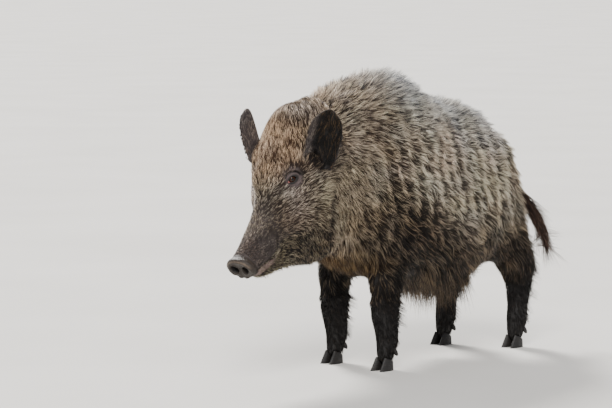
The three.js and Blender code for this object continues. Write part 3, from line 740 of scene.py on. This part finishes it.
# The hair of the flank runs together into wavy ridges of pale tips, with dark partings between them; further down,
# the partings are also darkened with painted shade and the crests lightened with painted light.
within = ridge_place(root)
strand = rng.random(n_roots)
follow = trunk_share * ridge_share(root) * (rng.random(n_roots) < 0.85)
near_crest = hill(0.5, 0.14, within)
length = length * (0.72 + 0.5 * rng.random(n_roots))
lift = mix(np.full(n_roots, 1.02), 0.64 + 0.52 * near_crest, follow) * (0.78 + 0.40 * rng.random(n_roots))

# Each tuft turns a little from the lie: in gathers that neighbours share, and by itself.
side_way = np.cross(root_n, t)
turn = 0.34 * noise(root, 0.040, 61) + 0.13 * noise(root, 0.012, 62)
turn = turn * (0.55 + 0.45 * trunk_share) + rng.normal(0, 0.11, n_roots)
# A turn to the animal's rear is one way round on its left side and the other on its right.
rearward = np.sign((side_way * [1, 0, 0]).sum(1))
turn += rearward * follow * 0.62 * np.sin(2 * math.pi * within)
t1 = unit(t * np.cos(turn)[:, None] + side_way * np.sin(turn)[:, None])
bend = rng.normal(0, 0.22, n_roots) + 0.25 * noise(root, 0.02, 63)
side_way = np.cross(root_n, t1)
t2 = unit(t1 * np.cos(bend)[:, None] + side_way * np.sin(bend)[:, None])


def onto_skin(p):
    """The nearest point of the skin to each point, and the skin's normal there."""
    found = [skin_tree.find_nearest(q) for q in p.tolist()]
    at = np.array([f[0] for f in found])
    return at, np.array([f[1] for f in found])


mid_skin, mid_n = onto_skin(root + t1 * (length * 0.5)[:, None])
tip_skin, tip_n = onto_skin(mid_skin + t2 * (length * 0.5)[:, None] + mid_n * 0.001)
mid_n, tip_n = unit(mid_n + root_n), unit(tip_n + mid_n)
mid = mid_skin + mid_n * (height * lift * 0.62)[:, None]
tip = tip_skin + tip_n * (height * lift)[:, None]
# Neighbouring tufts gather into locks: their tips draw together and dark gaps open between one lock and the next.
GATHER = 11  # tufts in a lock
seeds = rng.choice(n_roots, n_roots // GATHER, replace=False)
lock_tree = KDTree(len(seeds))
for number, place in enumerate(root[seeds].tolist()):
    lock_tree.insert(place, number)
lock_tree.balance()
lock = seeds[np.array([lock_tree.find(place)[1] for place in root.tolist()])]
alike = step(0.0, 0.7, (root_n * root_n[lock]).sum(1))
tail_share = at_roots(on_tail)
draw = alike * (0.35 + 0.3 * trunk_share + 0.45 * tail_share)
apart = root - root[lock]
tip = mix(tip, tip[lock] + apart * 0.2, draw)
mid = mix(mid, mid[lock] + apart * 0.75, draw * 0.5)
# Hair that hangs: under the belly, at the throat, tail, feet and jaw the tips fall free of the skin.
hang = at_roots(np.clip(very_low + throat * 0.6, 0, 1)) * step(0.25, -0.35, root_n[:, 2])
hang *= 1 - 0.9 * step(0.02, 0.11, rx)  # the fringe is longest behind the elbows
length = length * (1 + 0.3 * hill(-0.02, 0.07, rx) * hang - 0.5 * step(0.03, 0.12, rx) * at_roots(very_low))
hang = np.maximum.reduce([
    hang,
    tail_share * 0.7,
    at_roots(on_foot) * step(0.085, 0.06, rz) * 0.8,
    at_roots(on_jaw) * step(0.0, -0.6, root_n[:, 2]) * 0.8 * rng.random(n_roots)[lock],
])
sway = rng.normal(0, 0.10, (n_roots, 2)) + rng.normal(0, 0.16, (n_roots, 2))[lock]
fall = unit(np.c_[0.25 + sway[:, 0], sway[:, 1], np.full(n_roots, -1.0)])
tip = mix(tip, mid + fall * (length * (0.38 + 0.50 * rng.random(n_roots)[lock]))[:, None], hang * 0.9)
tip += np.array([0.016, -0.010, 0.004]) * (tail_share * rng.random(n_roots)[lock])[:, None]
tip += (rng.normal(0, 0.026, (n_roots, 3))[lock] + rng.normal(0, 0.003, (n_roots, 3))) * tail_share[:, None]
# The backs of the legs are shaggy: there the hair stands away from the limb.
shaggy = limb * step(0.05, 0.6, root_n[:, 0]) * step(0.06, 0.14, rz) * rng.random(n_roots)[lock]
tip += (root_n * 0.030 + np.array([0.006, 0, -0.010])) * shaggy[:, None]

# No hair reaches the floor, nor past the reach of the tail.
FLOOR_GAP = 0.0022
TAIL_REACH = 0.722
mid[:, 2] = np.maximum(mid[:, 2], FLOOR_GAP + 0.002)
tip[:, 2] = np.maximum(tip[:, 2], FLOOR_GAP)
tip[:, 0] -= np.maximum(tip[:, 0] - TAIL_REACH, 0) * 0.8

# ---- the coat's colours
chance = pale_chance * mix(np.ones(n_roots), 0.40 + 1.35 * near_crest, follow)
chance *= 1 + 0.55 * noise(root, 0.028, 81) * (1 - trunk_share) + 0.28 * noise(root, 0.07, 82) * trunk_share
alone = rng.random(n_roots)
pale = mix(alone, alone[lock], (rng.random(n_roots) < 0.12 + 0.26 * trunk_share) * 1.0) < chance
tone_and_ridge_shade = rng.normal(1.0, 0.13, n_roots) + rng.normal(0, 0.13, n_roots)[lock]
dark_c, pale_c, root_c = map(at_roots, (dark_tip, pale_tip, root_colour))
# Painted shade in the partings between the ridges and painted light on their crests, on top of each tuft's own tone.
tone_and_ridge_shade *= mix(np.ones(n_roots), 0.80 + 0.32 * near_crest, follow)
tip_c = np.where(pale[:, None], pale_c, dark_c) * tone_and_ridge_shade[:, None]
tip_c = tip_c * (1 + noise(root, 0.05, 71)[:, None] * np.array([-0.05, 0.0, 0.09]))
mid_c = mix(root_c, tip_c, np.where(pale, 0.55, 0.45))
mid_c[:, 0] *= 1 + 0.10 * noise(root, 0.07, 72)

# ---- tufts as solid mesh
BASE_SINK = 0.0012
TUFT = np.array([
    (0, 2, 1), (0, 1, 4), (0, 4, 3), (1, 2, 5), (1, 5, 4), (2, 0, 3), (2, 3, 5), (3, 4, 6), (4, 5, 6), (5, 3, 6),
])
PATCH = 0.003
PATCH_UV = np.array([(0, 0), (1, 0), (0.5, 0), (0, 0.5), (1, 0.5), (0.5, 0.5), (0.5, 1)]) * PATCH


def tuft_points(pick):
    side = unit(np.cross(root_n[pick], t1[pick]))
    side2 = unit(np.cross(mid_n[pick], unit(tip[pick] - root[pick])))
    w = (width[pick] * (0.75 + 0.5 * strand[pick]))[:, None]
    base = root[pick] - root_n[pick] * BASE_SINK
    return np.stack([
        base - side * w * 0.5, base + side * w * 0.5, base + root_n[pick] * w * 0.55,
        mid[pick] - side2 * w * 0.40, mid[pick] + side2 * w * 0.40, mid[pick] + mid_n[pick] * w * 0.40,
        tip[pick],
    ], axis=1)


def unwrap_of(pick, columns):
    """Each root's place on an unwrap of the skin: around and along the part of the body it grows on."""
    uv = np.zeros((pick.sum(), 2))
    at = np.nonzero(pick)[0]
    for number, (members, origin, axis, about) in enumerate(columns):
        here = members[at]
        q = root[at][here] - origin
        axis = unit(np.array(axis, float))
        start = unit(np.array(about, float) - axis * (np.array(about, float) @ axis))
        other = np.cross(axis, start)
        around = np.arctan2(q @ other, q @ start) / (2 * math.pi) + 0.5
        run = q @ axis
        run = (run - run.min()) / max(float(np.ptp(run)), 1e-6) if here.any() else run
        uv[here, 0] = (number + 0.02 + around * 0.96) / len(columns)
        uv[here, 1] = 0.005 + run * 0.985
    return uv


part_of = {name: at_roots(flag.astype(float)) > 0.5 for name, flag in flags.items()}
ear_root = part_of["ear_left"] | part_of["ear_right"]
head_root = (part_of["head"] | part_of["jaw"]) & ~ear_root
leg_root = (part_of["leg"] | part_of["foot"]) & ~head_root & ~ear_root
tail_root = part_of["tail"] & ~ear_root & ~head_root & ~leg_root
trunk_root = ~(ear_root | head_root | leg_root | tail_root)
on_left = root[:, 1] < 0
HIND_START = 0.16  # legs behind this are hind legs
hind = rx > HIND_START
FRONT_END, REAR_END = -0.20, 0.10  # where the trunk's coat is divided
behind_eyes = in_head(root)[:, 0] > EYE["back"]
# How each piece is unwrapped: from a point, along an axis, with the seam away from a direction.
head_way = (from_head(0.0, 0.0, 0.01), BACK, -UP)
trunk_way = (np.array([0.0, 0.0, 0.53]) + SHIFT, (1, 0, 0), (0, 0, -1))
divided = (
    ("face", head_root & ~behind_eyes, head_way),
    ("cheek", head_root & behind_eyes, head_way),
    ("neck", trunk_root & (rx < FRONT_END), trunk_way),
    ("flank", trunk_root & (rx >= FRONT_END) & (rx < REAR_END), trunk_way),
    ("rump", trunk_root & (rx >= REAR_END), trunk_way),
)
pieces = {
    f"coat_{part}_{side}": [(members & on_side, *way)]
    for side, on_side in (("left", on_left), ("right", ~on_left)) for part, members, way in divided
}
legs = []
for foot, place in zip(FEET, ((-0.27, -0.1, 0), (-0.26, 0.1, 0), (0.33, -0.1, 0), (0.27, 0.1, 0))):
    members = leg_root & (on_left == foot.endswith("left")) & (hind == foot.startswith("hind"))
    legs.append((members, place + SHIFT, (0, 0, 1), (0, -1, 0)))
pieces["coat_legs_fore"], pieces["coat_legs_hind"] = legs[:2], legs[2:]
pieces["coat_ears"] = [
    (part_of["ear_left"], from_head(0.34, -0.116, 0.10), (0, 0, 1), (1, 0, 0)),
    (part_of["ear_right"], from_head(0.34, 0.105, 0.10), (0, 0, 1), (1, 0, 0)),
]
pieces["coat_tail"] = [(tail_root, TAIL[2], TAIL[-1] - TAIL[0], (0, -1, 0))]

coats = []
for name, columns in pieces.items():
    pick = np.any([members for members, *_ in columns], axis=0)
    tufts = int(pick.sum())
    vertices = tuft_points(pick).reshape(-1, 3)
    triangles = (TUFT[None] + 7 * np.arange(tufts)[:, None, None]).reshape(-1, 3)
    mesh = mesh_from(name, vertices, triangles)
    colour = np.empty((tufts, 7, 4))
    colour[..., 3] = 1
    colour[:, 0:3, :3] = root_c[pick][:, None]
    colour[:, 3:6, :3] = mid_c[pick][:, None]
    colour[:, 6, :3] = tip_c[pick]
    put_marks(mesh, colour)
    uv = (unwrap_of(pick, columns)[:, None] + PATCH_UV[None]).reshape(-1, 2)[triangles.ravel()]
    mesh.uv_layers.new(name="OFBake").data.foreach_set("uv", flat(np.clip(uv, 0, 1)))
    shade_smooth(mesh)
    coats.append(new_object(name, mesh))

put_marks(skin_mesh, np.c_[skin_colour, np.ones(count)])
wet = np.clip(0.55 * on_disc + 0.6 * bare_eye * (head_share > 0.3), 0, 1)
skin_mesh.attributes.new("Wet", "FLOAT", "POINT").data.foreach_set("value", flat(wet))
shade_smooth(skin_mesh)


# ---- materials
class Nodes:
    """A material's nodes, made one after another."""

    def __init__(self, name, **settings):
        self.material = bpy.data.materials.new(name)
        self.material.use_nodes = True
        self.tree = self.material.node_tree
        self.shader = self.tree.nodes["Principled BSDF"]
        for key, value in settings.items():
            self.shader.inputs[key.replace("_", " ")].default_value = value

    def add(self, kind, **inputs):
        node = self.tree.nodes.new("ShaderNode" + kind)
        for key, value in inputs.items():
            name = key.replace("_", " ")
            if isinstance(value, bpy.types.NodeSocket):
                self.link(value, node.inputs[name])
            else:
                node.inputs[name].default_value = value
        return node

    def link(self, a, b):
        self.tree.links.new(a, b)

    def object_place(self):
        return self.add("TexCoord").outputs["Object"]

    def noise(self, scale, detail=3.0):
        return self.add("TexNoise", Scale=scale, Detail=detail, Vector=self.object_place()).outputs["Fac"]

    def ramp(self, value, *stops):
        node = self.add("ValToRGB", Fac=value)
        ramp = node.color_ramp
        while len(ramp.elements) < len(stops):
            ramp.elements.new(0.5)
        for element, (at, colour) in zip(ramp.elements, stops):
            element.position = at
            element.color = (*colour, 1)
        return node.outputs["Color"]

    def map(self, value, low, high, start=0.3, end=0.7):
        node = self.add("MapRange", Value=value, From_Min=start, From_Max=end, To_Min=low, To_Max=high)
        return node.outputs["Result"]

    def attribute(self, name, output="Color"):
        node = self.add("Attribute")
        node.attribute_name = name
        return node.outputs[output]

    def vector(self, operation, value):
        node = self.add("VectorMath")
        node.operation = operation
        self.link(value, node.inputs[0])
        return node

    def times(self, colour, value):
        """The colour made brighter or darker by a value about 1."""
        node = self.vector("SCALE", colour)
        self.link(value, node.inputs["Scale"])
        return node.outputs["Vector"]

    def bump(self, value, distance, strength):
        node = self.add("Bump", Distance=distance, Strength=strength, Height=value)
        self.link(node.outputs["Normal"], self.shader.inputs["Normal"])

    def colour(self, value):
        self.link(value, self.shader.inputs["Base Color"])

    def rough(self, value):
        self.link(value, self.shader.inputs["Roughness"])


def hair_material():
    m = Nodes("bristles", Specular_IOR_Level=0.22)
    m.colour(m.times(m.attribute("Marks"), m.map(m.noise(420.0), 0.72, 1.28)))
    m.rough(m.map(m.noise(90.0), 0.48, 0.68))
    m.bump(m.noise(900.0), 0.0006, 0.6)
    return m.material


def skin_material():
    m = Nodes("skin", Specular_IOR_Level=0.4)
    pores = m.noise(520.0, 6.0)
    m.colour(m.times(m.attribute("Marks"), m.map(m.noise(240.0, 5.0), 0.66, 1.34)))
    wet = m.attribute("Wet", "Fac")
    m.rough(m.map(wet, 0.62, 0.34, 0.0, 1.0))
    m.bump(pores, 0.0016, 0.8)
    return m.material


def horn_material():
    m = Nodes("horn")
    stretch = m.add("Mapping", Scale=(18.0, 18.0, 420.0), Vector=m.object_place())
    rings = m.add("TexNoise", Scale=1.0, Detail=3.0, Vector=stretch.outputs["Vector"]).outputs["Fac"]
    m.colour(m.ramp(rings, (0.3, linear(10, 9, 8)), (0.55, linear(24, 20, 18)), (0.8, linear(42, 36, 31))))
    m.rough(m.map(m.noise(160.0), 0.42, 0.66))
    m.bump(rings, 0.0012, 0.7)
    return m.material


def eye_material(side):
    """Dark wet eye: a wide pupil in a brown iris. The colour goes by how far a point lies from the gaze."""
    along, over, gaze = EYE_AXIS[side]
    m = Nodes("eye_" + side, Roughness=0.12, Specular_IOR_Level=0.28)
    off = m.vector("SUBTRACT", m.object_place())
    off.inputs[1].default_value = (eye_centre[side] + gaze * BALL).tolist()
    size = m.vector("LENGTH", off.outputs["Vector"])
    off_gaze = m.map(size.outputs["Value"], 0.0, 1.0, 0.0, 0.014)
    speck = m.map(m.noise(700.0, 4.0), 0.7, 1.3)
    iris = m.ramp(off_gaze, (0.26, linear(5, 4, 4)), (0.34, linear(42, 24, 14)), (0.56, linear(62, 36, 22)),
                  (0.66, linear(18, 12, 10)), (1.0, linear(60, 46, 42)))
    m.colour(m.times(iris, speck))
    return m.material


hair = hair_material()
for coat in coats:
    coat.data.materials.append(hair)
    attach(coat, "root")
skin.data.materials.clear()
skin.data.materials.append(skin_material())
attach(skin, "root")
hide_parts(*FLESH)

# ---- eyes
for side, (along, over, gaze) in EYE_AXIS.items():
    bm = bmesh.new()
    bmesh.ops.create_uvsphere(bm, u_segments=40, v_segments=28, radius=BALL)
    turn = Matrix([list(v) for v in np.c_[along, over, gaze]])
    for vertex in bm.verts:
        p = vertex.co
        beside = math.hypot(p.x, p.y) / BALL
        if p.z > 0:
            p.z += 0.0011 * math.exp(-((beside / 0.55) ** 2))  # the cornea stands out
        vertex.co = turn @ p + Vector(eye_centre[side])
    for face in bm.faces:
        face.smooth = True
    mesh = bpy.data.meshes.new("eyeball_" + side)
    bm.to_mesh(mesh)
    bm.free()
    ball = new_object("eyeball_" + side, mesh)
    mesh.materials.append(eye_material(side))
    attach(ball, "root")
    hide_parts("eye_" + side)

# ---- hooves and dewclaws
horn = horn_material()
for node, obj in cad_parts.items():
    if not node.startswith(("hoof", "dewclaw")):
        continue
    copy = new_object("raw_" + node, obj.data.copy())
    copy.matrix_world = obj.matrix_world
    mesh = with_modifier(copy, "REMESH", mode="VOXEL", voxel_size=0.0013, adaptivity=0)
    co = coordinates(mesh)
    off_floor = step(0.0, 0.006, co[:, 2])
    co = evened(smoothed(co, edges_of(mesh), 14, off_floor), edges_of(mesh), 8, off_floor)
    if node.startswith("dewclaw"):  # closer to the leg, under the hair
        co = co.mean(0) + (co - co.mean(0)) * [0.75, 0.9, 0.9] - [0.008, 0, 0]
    growth = np.sin(co[:, 2] * 2 * math.pi / 0.0052 + 1.2 * noise(co, 0.02, 91))
    put_coordinates(mesh, co)
    co = co + normals_of(mesh) * (0.00035 * growth * off_floor)[:, None]
    put_coordinates(mesh, co)
    mesh = with_modifier(new_object("thin_" + node, mesh), "DECIMATE", ratio=0.4)
    co = coordinates(mesh)
    co[:, 2] = np.maximum(co[:, 2], 0)
    put_coordinates(mesh, co)
    shade_smooth(mesh)
    mesh.materials.clear()
    mesh.materials.append(horn)
    piece = new_object("horn_" + node, mesh)
    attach(piece, "root")
    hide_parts(node)

# ---- floor, light and camera
def floor_material():
    m = Nodes("floor", Roughness=0.8)
    m.colour(m.ramp(m.noise(1.3, 2.0), (0.3, linear(214, 211, 205)), (0.7, linear(221, 218, 213))))
    return m.material


bpy.ops.mesh.primitive_plane_add(size=600)
floor = bpy.context.object
floor.name = "floor"
floor.data.materials.append(floor_material())

world = bpy.data.worlds.new("studio")
bpy.context.scene.world = world
world.use_nodes = True
background = world.node_tree.nodes["Background"]
background.inputs["Color"].default_value = (0.93, 0.95, 1.0, 1)
background.inputs["Strength"].default_value = 0.62


def sun_light(name, place, strength, spread, colour):
    """A broad soft light from far away in the direction of place, even over the whole floor."""
    light = bpy.data.lights.new(name, "SUN")
    light.energy = strength
    light.angle = math.radians(spread)
    light.color = colour
    new_object(name, light).rotation_euler = Vector(place).to_track_quat("Z", "Y").to_euler()


sun_light("key", (-0.75, -0.55, 0.85), 3.3, 26, (1.0, 0.98, 0.95))
sun_light("rim", (0.40, 0.80, 0.75), 5.6, 16, (1.0, 0.98, 0.95))

AZIMUTH, ELEVATION, DISTANCE, FOCAL_PX = math.radians(-52), math.radians(5.5), 8.5, 2830
WIDE, TALL = 612, 408
SEEN_AT = (416, 214)
target = Vector(SHIFT) + Vector((0, 0, 0.43))
back_way = Vector((
    math.sin(AZIMUTH) * math.cos(ELEVATION), -math.cos(AZIMUTH) * math.cos(ELEVATION), math.sin(ELEVATION),
))
camera = new_object("camera", bpy.data.cameras.new("camera"))
bpy.context.scene.camera = camera
camera.data.sensor_width = 36
camera.data.lens = FOCAL_PX / WIDE * camera.data.sensor_width
camera.data.clip_end = 1000
camera.location = target + back_way * DISTANCE
# Turned a little left of the target and up, so that the target is seen at SEEN_AT.
right_way = Vector((0, 0, 1)).cross(back_way).normalized()
up_way = back_way.cross(right_way)
aim = -back_way * FOCAL_PX - right_way * (SEEN_AT[0] - WIDE / 2) + up_way * (SEEN_AT[1] - TALL / 2)
camera.rotation_euler = aim.to_track_quat("-Z", "Y").to_euler()
